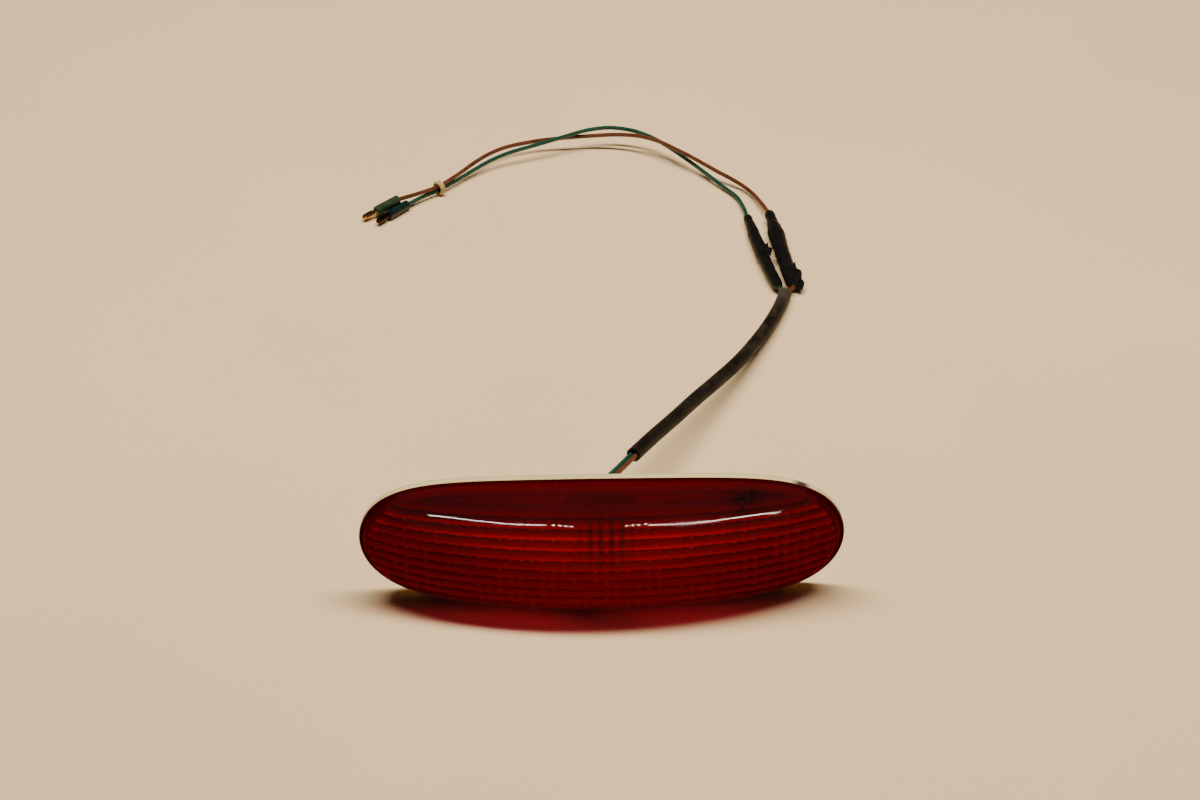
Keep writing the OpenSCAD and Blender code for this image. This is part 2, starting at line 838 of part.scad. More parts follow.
module bullet_pin_brown() {
  color("gold") bullet_pin(lead_brown_route[len(lead_brown_route) - 1], sleeve_brown_dir);
}

lens();
lens_seal();
housing();
mounting_gasket();
mounting_studs();
reflector();
reflector_screws();
bulb_glass();
bulb_cap();
bulb_insulator();
bulb_contact();
bulb_stem();
bulb_supports();
bulb_filament();
holder_body();
holder_seal();
holder_shell();
holder_grommet();
holder_leads();
plunger_disc();
plunger_contact();
contact_spring();
pigtail_green();
pigtail_brown();
harness_tube();
splice_green();
splice_brown();
lead_green();
lead_brown();
wire_ring();
bullet_sleeve_green();
bullet_sleeve_brown();
bullet_pin_green();
bullet_pin_brown();
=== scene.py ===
import json
import math
import random

import bpy
from mathutils import Matrix, Quaternion, Vector


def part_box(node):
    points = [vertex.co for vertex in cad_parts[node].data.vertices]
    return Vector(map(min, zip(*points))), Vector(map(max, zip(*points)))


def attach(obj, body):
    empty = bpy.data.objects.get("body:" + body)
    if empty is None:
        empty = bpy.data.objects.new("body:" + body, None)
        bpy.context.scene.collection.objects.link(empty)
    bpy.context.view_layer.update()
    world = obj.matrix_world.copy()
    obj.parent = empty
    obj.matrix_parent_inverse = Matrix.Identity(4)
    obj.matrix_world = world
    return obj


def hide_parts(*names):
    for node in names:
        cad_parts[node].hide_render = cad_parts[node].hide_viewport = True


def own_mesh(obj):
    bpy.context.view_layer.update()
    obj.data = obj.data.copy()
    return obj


# Looks of an oval high-mount stop lamp with its taped harness. Metres, in the frame of the CAD model.

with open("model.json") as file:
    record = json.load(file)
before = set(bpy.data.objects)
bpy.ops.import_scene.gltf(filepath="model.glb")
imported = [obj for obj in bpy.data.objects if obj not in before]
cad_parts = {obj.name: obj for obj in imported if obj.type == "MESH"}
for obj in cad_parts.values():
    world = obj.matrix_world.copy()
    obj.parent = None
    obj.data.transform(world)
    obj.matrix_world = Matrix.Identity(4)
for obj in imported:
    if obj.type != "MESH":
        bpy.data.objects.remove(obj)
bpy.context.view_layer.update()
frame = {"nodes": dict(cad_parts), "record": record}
random.seed(7)

# Numbers of the axes
X, Y, Z = range(3)

# Camera
CAMERA_PLACE = (0.018, -1.2216, 0.9751)
CAMERA_TARGET = (-0.0015, 0.1708, 0)
CAMERA_ROLL_DEG = -1.35
CAMERA_LENS_MM = 89.6

# Lens, as in the CAD source
TONGUE_OUT = 0.0015
TONGUE_H = 0.0018
LENS_LO, LENS_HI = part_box("lens")
HALF_W = (LENS_HI.x - LENS_LO.x) / 2
HALF_H = (LENS_HI.z - LENS_LO.z) / 2
CENTRE_Z = (LENS_HI.z + LENS_LO.z) / 2
JOINT_Y = LENS_HI.y - TONGUE_H
LENS_CENTRE = Vector((0, JOINT_Y, CENTRE_Z))
END_POWER = 6.5
EDGE_FALL = 0.045
LENS_DEPTH = 0.0295
BOW = 0.8
FACE_LEAN = 0.4
CROWN_TOP = 2.4
CROWN_BOTTOM = 2.25
LENS_WALL = 0.003

# Pillows and flutes inside the lens
PILLOW_W = 0.0054
PILLOW_H = 0.0051
PILLOW_CUT_X = 0.0005
PILLOW_CUT_Z = 0.0011
OPTICS_TOP = 0.0282
OPTICS_END = 0.1235
OPTICS_TOP_BLEND = 0.0006
OPTICS_BLEND = 0.001
FLUTE_W = 0.0015
FLUTE_DEPTH = 0.00045
FLUTE_START = 0.001
FLUTE_FULL = 0.0015
FLUTE_REACH = 0.0064
FLUTE_FADE = 0.75
FLUTE_BLEND = 0.0004

# Points along and over the lens's skins, and the places of its second and third finishes
OUTLINE_STEPS = 2000
OUTER_COLUMNS, OUTER_ROWS = 361, 161
INNER_COLUMNS, INNER_ROWS = 641, 221
DOME_EASE = 1.3
NO_AREA = 1e-12
WELD_DISTANCE = 0.000002
OPTICS_INDEX = 1
FLUTES_INDEX = 2

# What is left of a lamp's light behind one skin of the lens
RED_LIGHT = (0.60, 0.24, 0.37)

# Heights between which painted shade darkens the lens below its top edge
SHADE_FROM = CENTRE_Z + 0.013
SHADE_TO = CENTRE_Z + 0.024

# Marks: place and radius
# Painted pool of light on the middle rows of pillows
PAINTED_MIDDLE_LIGHT = (0.0, -0.03, CENTRE_Z - 0.014), 0.084
# Painted shadow of the bulb on the pillows
PAINTED_BULB_SHADE = (0.003, -0.026, CENTRE_Z + 0.017), 0.02
RIM_SCUFF = (0.103, 0.0, 0.066), 0.006
SMUDGES = [
    ((0.072, -0.012, 0.064), 0.009),
    ((0.079, -0.010, 0.066), 0.007),
    ((0.069, -0.022, 0.055), 0.006),
]

# Studs
STUD_R = 0.0025
STUD_HALF_PITCH = 0.080
STUD_HEAD_T = 0.0024
STUD_HEAD_SIDES = 6
STUD_PLAIN = 0.0075
STUD_CHAMFER = 0.0007
THREAD_PITCH = 0.0008
THREAD_DEPTH = 0.00045
THREAD_RUN_IN = 0.0005
THREAD_STEP = 0.0001
THREAD_SIDES = 32

# Spring and filament
COIL_STEPS = 32
COIL_SIDES = 10
SPRING_TURNS = 3
SPRING_WIRE_R = 0.0004
FILAMENT_TURNS = 8
FILAMENT_R = 0.00045
FILAMENT_WIRE_R = 0.00013

# Wires and sleeving
WIRE_R = 0.0013
WIRE_GAP = 0.0014
WIRE_STEPS = 8
PIGTAIL_END = 4
TUBE_R = 0.004
TUBE_BORE_R = 0.0029
TUBE_EDGE = 0.0003
TUBE_BORE_EDGE = 0.0002
TUBE_UNEVEN = 0.012
TUBE_WAVE = 0.21
TUBE_END_Y = 0.272
TUBE_STEPS = 10
ROUND_SIDES = 40

# Tape
TAPE_PITCH = 0.0085
TAPE_STEP = 0.00028
TAPE_T = 0.0004
SPLICE_STEPS = 12
DENT_LENGTH = 0.011
DENTS_ROUND = 5
DENT_COUNT = 64
DENT_DEPTH = 0.0003
CUFF_SIDES = 32
FLAP_STEPS = 6
FLAP_COLUMNS = 9
FLAP_CRINKLE = 0.0007
FLAP_RAGGED = 0.3

# Loose ends of tape: the line along each, its half widths and the direction across it
FLAP_BROWN = (
    [(0.1145, 0.299, 0.0075), (0.1162, 0.291, 0.0065), (0.118, 0.284, 0.005), (0.1185, 0.277, 0.0035)],
    [0.0018, 0.0028, 0.003, 0.0016],
    (0.8, 0.5, 0.3),
)
FLAP_GREEN = (
    [(0.0985, 0.322, 0.0078), (0.1, 0.316, 0.0081), (0.1015, 0.309, 0.0083)],
    [0.0022, 0.0026, 0.0012],
    (0.9, 0.25, 0),
)

# Straight-cut ends of tape: radius and length
CUFF_BROWN = 0.003, 0.006
CUFF_GREEN = 0.0026, 0.004

# Stage and lights
WARM = (1.0, 0.93, 0.82)
COOL = (0.95, 0.95, 1.0)
FLOOR_REACH = 6.0
FLOOR_SPLIT = 0.02
OVERHEAD_PLACE = (0.05, 0.39, 1.92)
OVERHEAD_TARGET = (0, 0.1, 0)
OVERHEAD_SIZE = (2.4, 0.35)
OVERHEAD_POWER = 85
ROOM_WALLS = [("room_front", -2.7, 1.0, 2.4), ("room_top", -0.9, 2.9, 3.6)]
ROOM_HALF_W = 3
ROOM_RADIANCE = 0.085
LAMP_LEFT = (-1.17, -2.22, 0.50), (-0.35, -2.24, 1.16)
LAMP_RIGHT = (0.25, -2.26, 1.15), (1.22, -2.23, 0.33)
LAMP_W = 0.017
LAMP_RADIANCE = 50
GAP_LAMPS = 4
GAP_LAMP_L = 0.014
GAP_LAMP_W = 0.03
GAP_LAMP_STEP = 0.035
GAP_LAMP_LEFT = -0.31
GAP_LAMP_RIGHT = 0.22
GAP_LAMP_Y = -2.25
GAP_LAMP_Z = 1.19
GAP_RADIANCE = 60
SKY_STRENGTH = 0.012

# Centre lines of the harness
EXIT_ROUTE = [(0, 0.0335, 0.036), (0, 0.0405, 0.036), (0.004, 0.0485, 0.035), (0.010, 0.0625, 0.0315)]
TUBE_ROUTE = [
    (0.017, 0.080, 0.027), (0.029, 0.103, 0.0235), (0.041, 0.125, 0.020), (0.053, 0.147, 0.017),
    (0.066, 0.170, 0.0135), (0.078, 0.192, 0.0105), (0.089, 0.216, 0.0075), (0.098, 0.238, 0.0055),
    (0.105, 0.258, 0.0044), (0.109, 0.273, 0.0042),
]
SPLICE_GREEN_ROUTE = [
    (0.1056, 0.279, 0.0042), (0.1039, 0.285, 0.0041), (0.101, 0.297, 0.0041), (0.097, 0.317, 0.004),
    (0.0935, 0.338, 0.0038), (0.091, 0.355, 0.0032), (0.090, 0.361, 0.003),
]
SPLICE_GREEN_R = [0.0024, 0.0036, 0.0038, 0.004, 0.0038, 0.0028, 0.0025]
SPLICE_BROWN_ROUTE = [
    (0.114, 0.279, 0.0046), (0.1134, 0.285, 0.0047), (0.1116, 0.299, 0.005), (0.109, 0.318, 0.0052),
    (0.107, 0.335, 0.0054), (0.1046, 0.356, 0.005), (0.1036, 0.362, 0.005),
]
SPLICE_BROWN_R = [0.0026, 0.004, 0.0044, 0.0046, 0.0052, 0.0032, 0.0027]
LEAD_GREEN_ROUTE = [
    (0.090, 0.361, 0.003), (0.088, 0.374, 0.0026), (0.084, 0.388, 0.0022), (0.076, 0.400, 0.0026),
    (0.067, 0.412, 0.004), (0.058, 0.423, 0.0056), (0.049, 0.4335, 0.0072), (0.040, 0.443, 0.0088),
    (0.031, 0.4505, 0.0104), (0.019, 0.456, 0.0122), (0.005, 0.4585, 0.013), (-0.009, 0.456, 0.013),
    (-0.023, 0.4505, 0.012), (-0.040, 0.4435, 0.0105), (-0.059, 0.4365, 0.0086),
    (-0.071, 0.4305, 0.0066), (-0.082, 0.422, 0.0046), (-0.093, 0.411, 0.0034),
    (-0.103, 0.4005, 0.0032), (-0.1135, 0.392, 0.0032), (-0.1225, 0.383, 0.0032),
]
LEAD_BROWN_ROUTE = [
    (0.1036, 0.362, 0.005), (0.0995, 0.376, 0.004), (0.0945, 0.389, 0.0034), (0.089, 0.398, 0.0036),
    (0.082, 0.4045, 0.005), (0.073, 0.411, 0.007), (0.064, 0.418, 0.009), (0.055, 0.4255, 0.0106),
    (0.046, 0.433, 0.0116), (0.036, 0.4415, 0.0122), (0.023, 0.449, 0.012), (0.008, 0.4535, 0.0106),
    (-0.008, 0.4545, 0.0094), (-0.024, 0.454, 0.0086), (-0.041, 0.452, 0.008),
    (-0.060, 0.446, 0.0076), (-0.072, 0.438, 0.0072), (-0.082, 0.427, 0.0068),
    (-0.092, 0.4135, 0.0063), (-0.103, 0.4005, 0.006), (-0.115, 0.3915, 0.0064),
    (-0.128, 0.384, 0.0066),
]


# Camera

def make_camera(place, target, roll_deg, lens_mm):
    data = bpy.data.cameras.new("camera")
    data.lens = lens_mm
    data.sensor_width = 36
    data.clip_start = 0.05
    data.clip_end = 20
    cam = bpy.data.objects.new("camera", data)
    bpy.context.scene.collection.objects.link(cam)
    cam.location = place
    cam.rotation_mode = "QUATERNION"
    look = (Vector(target) - Vector(place)).to_track_quat("-Z", "Y")
    cam.rotation_quaternion = look @ Quaternion((0, 0, 1), math.radians(roll_deg))
    bpy.context.scene.camera = cam


make_camera(CAMERA_PLACE, CAMERA_TARGET, CAMERA_ROLL_DEG, CAMERA_LENS_MM)


# Shapes

def add_object(name, data):
    obj = bpy.data.objects.new(name, data)
    bpy.context.scene.collection.objects.link(obj)
    return obj


def mesh_object(name, verts, faces, rounded=True):
    mesh = bpy.data.meshes.new(name)
    mesh.from_pydata(verts, [], faces)
    if rounded:
        mesh.polygons.foreach_set("use_smooth", [True] * len(mesh.polygons))
    mesh.update()
    return add_object(name, mesh)


def spline_points(route, steps):
    """Points of a smooth line through the route, steps to each stretch."""
    pts = [Vector(p) for p in route]
    line = []
    for i in range(len(pts) - 1):
        before = pts[max(i - 1, 0)]
        a, b = pts[i], pts[i + 1]
        after = pts[min(i + 2, len(pts) - 1)]
        for k in range(steps):
            t = k / steps
            line.append(0.5 * (
                2 * a + (b - before) * t
                + (2 * before - 5 * a + 4 * b - after) * t * t
                + (3 * a - before - 3 * b + after) * t * t * t
            ))
    line.append(pts[-1])
    return line


def spline_values(values, steps):
    """The radii of a route's points, eased between them."""
    out = []
    for a, b in zip(values, values[1:]):
        for k in range(steps):
            t = k / steps
            out.append(a + (b - a) * t * t * (3 - 2 * t))
    out.append(values[-1])
    return out


def headings(line):
    """The direction in which a line runs at each of its points."""
    last = len(line) - 1
    return [(line[min(i + 1, last)] - line[max(i - 1, 0)]).normalized() for i in range(last + 1)]


def sideways(heading, axis=(0, 0, 1)):
    """Across a line, and square to an axis."""
    return heading.cross(Vector(axis)).normalized()


def beside(route, distance):
    """A line that runs beside a route at a level distance."""
    pts = [Vector(p) for p in route]
    return [p + distance * sideways(h) for p, h in zip(pts, headings(pts))]


def bands(rows, count, closed):
    """Quads between rows of count points each."""
    faces = []
    for i in range(rows - 1):
        for k in range(count if closed else count - 1):
            n = (k + 1) % count
            faces.append((i * count + k, i * count + n, (i + 1) * count + n, (i + 1) * count + k))
    return faces


def cap(start, sides):
    """One face over a ring of points."""
    return tuple(range(start, start + sides))


def wire_curve(name, line, radius):
    data = bpy.data.curves.new(name, "CURVE")
    data.dimensions = "3D"
    data.bevel_depth = radius
    data.bevel_resolution = 4
    data.use_fill_caps = True
    spline = data.splines.new("POLY")
    spline.points.add(len(line) - 1)
    for point, p in zip(spline.points, line):
        point.co = (*p, 1)
    spline.use_smooth = True
    return add_object(name, data)


def sweep(name, line, radius_at, sides, capped=True, axis=(0, 0, 1)):
    """A skin round a line. radius_at(i, turn) is the radius at point i and that share of a turn."""
    verts = []
    for i, (p, h) in enumerate(zip(line, headings(line))):
        side = sideways(h, axis)
        up = side.cross(h)
        for k in range(sides):
            a = 2 * math.pi * k / sides
            r = radius_at(i, k / sides)
            verts.append(p + r * (math.cos(a) * side + math.sin(a) * up))
    faces = bands(len(line), sides, True)
    if capped:
        faces.append(cap(0, sides)[::-1])
        faces.append(cap((len(line) - 1) * sides, sides))
    return mesh_object(name, verts, faces)


def lathe(name, profile, place, axis, sides):
    """A profile of (radius, distance along axis) pairs turned round the axis."""
    turn = Vector((0, 0, 1)).rotation_difference(Vector(axis).normalized())
    verts = []
    for r, z in profile:
        for k in range(sides):
            a = 2 * math.pi * k / sides
            verts.append(Vector(place) + turn @ Vector((r * math.cos(a), r * math.sin(a), z)))
    return mesh_object(name, verts, bands(len(profile), sides, True))


def joined(name, objects):
    """One object out of several mesh objects."""
    verts, faces = [], []
    for o in objects:
        start = len(verts)
        verts.extend(v.co.copy() for v in o.data.vertices)
        faces.extend(tuple(start + i for i in p.vertices) for p in o.data.polygons)
        bpy.data.objects.remove(o)
    return mesh_object(name, verts, faces)


def flow(value, low, high):
    """0 up to low, 1 from high, and eased between."""
    t = min(max((value - low) / (high - low), 0), 1)
    return t * t * (3 - 2 * t)


# Materials

class Shader:
    """A Principled material with a few node helpers."""

    def __init__(self, name, **values):
        self.material = bpy.data.materials.new(name)
        self.material.use_nodes = True
        self.tree = self.material.node_tree
        self.bsdf = self.tree.nodes["Principled BSDF"]
        self.output = self.tree.nodes["Material Output"]
        self.place = self.new("ShaderNodeTexCoord").outputs["Object"]
        for key, value in values.items():
            self.bsdf.inputs[key.replace("_", " ")].default_value = value

    def new(self, kind):
        return self.tree.nodes.new(kind)

    def link(self, source, target):
        self.tree.links.new(source, target)

    def noise(self, scale, detail=4.0, rough=0.55):
        node = self.new("ShaderNodeTexNoise")
        node.inputs["Scale"].default_value = scale
        node.inputs["Detail"].default_value = detail
        node.inputs["Roughness"].default_value = rough
        self.link(self.place, node.inputs["Vector"])
        return node.outputs["Fac"]

    def ramp(self, value, *stops):
        """Maps a value to colours given as (place, colour) stops."""
        node = self.new("ShaderNodeValToRGB")
        elements = node.color_ramp.elements
        while len(elements) < len(stops):
            elements.new(0.5)
        for element, (at, colour) in zip(elements, stops):
            element.position = at
            element.color = (*colour, 1)
        self.link(value, node.inputs["Fac"])
        return node.outputs["Color"]

    def map(self, value, low, high, to_low, to_high):
        """Maps low to high onto to_low to to_high, and no further."""
        node = self.new("ShaderNodeMapRange")
        node.inputs["From Min"].default_value = low
        node.inputs["From Max"].default_value = high
        node.inputs["To Min"].default_value = to_low
        node.inputs["To Max"].default_value = to_high
        self.link(value, node.inputs["Value"])
        return node.outputs["Result"]

    def mix(self, factor, a, b):
        """Colour a to colour b; each may be a socket or a plain colour."""
        node = self.new("ShaderNodeMix")
        node.data_type = "RGBA"
        self.link(factor, node.inputs["Factor"])
        for key, value in (("A_Color", a), ("B_Color", b)):
            socket = next(i for i in node.inputs if i.identifier == key)
            if isinstance(value, tuple):
                socket.default_value = (*value, 1)
            else:
                self.link(value, socket)
        return next(o for o in node.outputs if o.identifier == "Result_Color")

    def calc(self, operation, a, b=0.0):
        """One Math node; a and b may be sockets or numbers."""
        node = self.new("ShaderNodeMath")
        node.operation = operation
        for socket, value in zip(node.inputs, (a, b)):
            if isinstance(value, float):
                socket.default_value = value
            else:
                self.link(value, socket)
        return node.outputs[0]

    def cell(self, index, start, pitch):
        """0 at every pitch along an axis, counted from start, and 1 half way between."""
        from_start = self.calc("SUBTRACT", self.axis(index), start)
        wave = self.calc("PINGPONG", from_start, pitch / 2)
        return self.calc("MULTIPLY", wave, 2 / pitch)

    def fall(self, index, start, pitch):
        """How far down from start a point is within its own pitch, from 0 to 1."""
        below_start = self.calc("SUBTRACT", start, self.axis(index))
        return self.calc("FRACT", self.calc("DIVIDE", below_start, pitch))

    def spot(self, place, radius):
        """1 at a place of the piece, fading to 0 at the radius."""
        node = self.new("ShaderNodeVectorMath")
        node.operation = "DISTANCE"
        self.link(self.place, node.inputs[0])
        node.inputs[1].default_value = place
        return self.map(node.outputs["Value"], radius / 3, radius, 1.0, 0.0)

    def axis(self, index):
        node = self.new("ShaderNodeSeparateXYZ")
        self.link(self.place, node.inputs[0])
        return node.outputs[index]

    def colour(self, source):
        self.link(source, self.bsdf.inputs["Base Color"])

    def rough(self, source):
        self.link(source, self.bsdf.inputs["Roughness"])

    def bump(self, height, strength, distance):
        node = self.new("ShaderNodeBump")
        node.inputs["Strength"].default_value = strength
        node.inputs["Distance"].default_value = distance
        self.link(height, node.inputs["Height"])
        self.link(node.outputs["Normal"], self.bsdf.inputs["Normal"])
        return self


def let_light_through(s, colour):
    """Lamps shine through the surface as light of this colour."""
    through = s.new("ShaderNodeBsdfTransparent")
    through.inputs["Color"].default_value = (*colour, 1)
    path = s.new("ShaderNodeLightPath")
    mix = s.new("ShaderNodeMixShader")
    s.link(path.outputs["Is Shadow Ray"], mix.inputs[0])
    s.link(s.bsdf.outputs[0], mix.inputs[1])
    s.link(through.outputs[0], mix.inputs[2])
    s.link(mix.outputs[0], s.output.inputs["Surface"])


def red_acrylic():
    """Clear red with a thin film of dirt in patches and a few dark smudges on it."""
    s = Shader("red_acrylic", IOR=1.49, Transmission_Weight=0.93)
    grain = s.map(s.noise(500, 5, 0.7), 0.4, 0.55, 0.0, 1.0)
    tone = (0.40, 0.006, 0.014)
    for place, radius in SMUDGES:
        tone = s.mix(s.calc("MULTIPLY", s.spot(place, radius), grain), tone, (0.03, 0.016, 0.012))
    s.colour(tone)
    film = s.noise(90, 6, 0.6)
    s.rough(s.map(film, 0.45, 0.75, 0.012, 0.09))
    let_light_through(s, RED_LIGHT)
    return s.material


def lens_optics():
    """The pillows inside the lens, with painted light and shade: each row is painted bright above a
    painted dark line that parts it from the next.
    """
    s = Shader("lens_optics", IOR=1.49, Transmission_Weight=0.2, Roughness=0.2)
    row = s.fall(Z, CENTRE_Z + OPTICS_TOP, PILLOW_H)
    column = s.cell(X, 0.0, PILLOW_W)
    # Painted shade at the top of each row, painted light lower down, then the painted dark line
    tone = s.ramp(
        row, (0.0, (0.06, 0.001, 0.002)), (0.08, (0.10, 0.001, 0.003)), (0.22, (0.5, 0.003, 0.008)),
        (0.6, (0.72, 0.005, 0.012)), (0.82, (1.0, 0.008, 0.018)), (0.88, (0.22, 0.002, 0.006)))
    # Painted light: the middle rows are brightened
    painted_middle_light = s.calc("MULTIPLY", s.spot(*PAINTED_MIDDLE_LIGHT), s.map(row, 0.8, 0.86, 0.75, 0.0))
    tone = s.mix(painted_middle_light, tone, (1.0, 0.008, 0.018))
    # Painted glints: bright dots along the dark lines, in the middle of each column
    line = s.map(row, 0.84, 0.9, 0.0, 1.0)
    middle = s.map(column, 0.5, 0.7, 0.0, 1.0)
    cloud = s.map(s.noise(160, 4), 0.42, 0.55, 0.0, 1.0)
    painted_glints = s.calc("MULTIPLY", s.calc("MULTIPLY", line, middle), cloud)
    tone = s.mix(painted_glints, tone, (1.0, 0.25, 0.16))
    # Painted shadow of the bulb, in a grid over the pillows
    bulb = s.calc("MULTIPLY", s.spot(*PAINTED_BULB_SHADE), s.map(column, 0.3, 0.6, 0.66, 0.1))
    tone = s.mix(bulb, tone, (0.04, 0.001, 0.002))
    # Painted shade on the rows under the lens's top edge
    painted_top_shade = s.map(s.axis(Z), SHADE_FROM, SHADE_TO, 0.0, 0.84)
    s.colour(s.mix(painted_top_shade, tone, (0.02, 0.001, 0.003)))
    let_light_through(s, RED_LIGHT)
    return s.material


def lens_flutes():
    """The fine flutes inside the lens's edge."""
    s = Shader("lens_flutes", IOR=1.49, Transmission_Weight=0.5, Roughness=0.2)
    stripe = s.cell(X, 0.0, FLUTE_W)
    s.colour(s.mix(stripe, (0.06, 0.001, 0.004), (0.36, 0.008, 0.016)))
    let_light_through(s, RED_LIGHT)
    return s.material


def clear_glass():
    s = Shader("clear_glass", IOR=1.5, Transmission_Weight=1.0)
    haze = s.noise(120, 3)
    s.colour(s.ramp(haze, (0.3, (0.96, 0.97, 0.97)), (0.8, (0.9, 0.91, 0.9))))
    return s.material


def cream_plastic():
    s = Shader("cream_plastic", IOR=1.5, Specular_IOR_Level=0.3)
    blotch = s.noise(38, 5)
    tone = s.ramp(blotch, (0.3, (0.60, 0.46, 0.21)), (0.7, (0.70, 0.55, 0.28)))
    grime = s.map(s.noise(160, 6, 0.7), 0.6, 0.78, 0.0, 0.6)
    tone = s.mix(grime, tone, (0.30, 0.25, 0.15))
    s.colour(s.mix(s.spot(*RIM_SCUFF), tone, (0.05, 0.04, 0.03)))
    s.rough(s.map(blotch, 0.3, 0.7, 0.34, 0.5))
    return s.bump(s.noise(900, 3), 0.12, 0.0003).material


def foam():
    s = Shader("foam", Roughness=0.95)
    cells = s.noise(1400, 2)
    s.colour(s.ramp(cells, (0.3, (0.40, 0.33, 0.21)), (0.7, (0.56, 0.47, 0.31))))
    return s.bump(cells, 0.6, 0.0004).material


def metallised():
    s = Shader("metallised", Metallic=1.0)
    haze = s.noise(60, 5)
    s.colour(s.ramp(haze, (0.3, (0.70, 0.70, 0.71)), (0.7, (0.82, 0.82, 0.82))))
    s.rough(s.map(haze, 0.3, 0.7, 0.1, 0.22))
    return s.material


def worn_metal(name, low, high, rough_low, rough_high, spots=None):
    """Metal clouded between two tones, with darker spots if their colour is given."""
    s = Shader(name, Metallic=1.0)
    cloud = s.noise(260, 6, 0.65)
    tone = s.ramp(cloud, (0.35, low), (0.65, high))
    if spots:
        tone = s.mix(s.map(s.noise(700, 4, 0.7), 0.52, 0.62, 0.0, 1.0), tone, spots)
    s.colour(tone)
    s.rough(s.map(cloud, 0.3, 0.7, rough_low, rough_high))
    return s.bump(s.noise(1800, 3), 0.15, 0.00008).material


def plastic(name, low, high, rough_low, rough_high):
    """Moulded plastic or rubber clouded between two tones, with a fine grain."""
    s = Shader(name, IOR=1.5)
    cloud = s.noise(180, 5, 0.6)
    s.colour(s.ramp(cloud, (0.35, low), (0.65, high)))
    s.rough(s.map(cloud, 0.3, 0.7, rough_low, rough_high))
    return s.bump(s.noise(1500, 4), 0.15, 0.0001).material


def worn_tube():
    """Black sleeving, browned with grime towards its far end."""
    s = Shader("worn_tube", IOR=1.5, Specular_IOR_Level=0.25)
    cloud = s.noise(120, 6, 0.7)
    black = s.ramp(cloud, (0.3, (0.004, 0.0035, 0.003)), (0.7, (0.010, 0.008, 0.007)))
    mud = s.ramp(s.noise(340, 5, 0.7), (0.3, (0.012, 0.009, 0.006)), (0.75, (0.05, 0.034, 0.021)))
    far = s.map(s.axis(Y), 0.1, TUBE_END_Y, 0.25, 1.0)
    patch = s.map(s.noise(95, 4, 0.6), 0.42, 0.6, 0.0, 1.0)
    specks = s.map(s.noise(820, 3, 0.6), 0.66, 0.72, 0.0, 0.5)
    tone = s.mix(s.calc("MULTIPLY", far, patch), black, mud)
    tone = s.mix(specks, tone, (0.06, 0.04, 0.026))
    tip = s.map(s.axis(Y), TUBE_END_Y - 0.024, TUBE_END_Y, 0.0, 0.85)
    dust = s.calc("MULTIPLY", tip, s.map(cloud, 0.3, 0.6, 0.5, 1.0))
    s.colour(s.mix(dust, tone, (0.075, 0.056, 0.038)))
    s.rough(s.map(cloud, 0.3, 0.7, 0.5, 0.72))
    return s.bump(s.noise(600, 5, 0.7), 0.35, 0.0002).material


def tape():
    s = Shader("tape", IOR=1.5)
    cloud = s.noise(220, 5, 0.65)
    tone = s.ramp(cloud, (0.35, (0.004, 0.004, 0.004)), (0.7, (0.009, 0.008, 0.007)))
    s.colour(s.mix(s.map(s.noise(520, 4, 0.7), 0.62, 0.74, 0.0, 0.6), tone, (0.055, 0.045, 0.035)))
    s.rough(s.map(cloud, 0.3, 0.7, 0.5, 0.68))
    return s.bump(s.noise(420, 4, 0.6), 0.4, 0.0003).material


def nylon():
    s = Shader("nylon", IOR=1.53, Subsurface_Weight=0.35, Subsurface_Scale=0.002)
    s.bsdf.inputs["Subsurface Radius"].default_value = (1.0, 0.7, 0.35)
    cloud = s.noise(520, 5, 0.7)
    s.colour(s.ramp(cloud, (0.3, (0.28, 0.20, 0.07)), (0.7, (0.55, 0.43, 0.19))))
    s.rough(s.map(cloud, 0.3, 0.7, 0.42, 0.6))
    return s.bump(cloud, 0.5, 0.0004).material


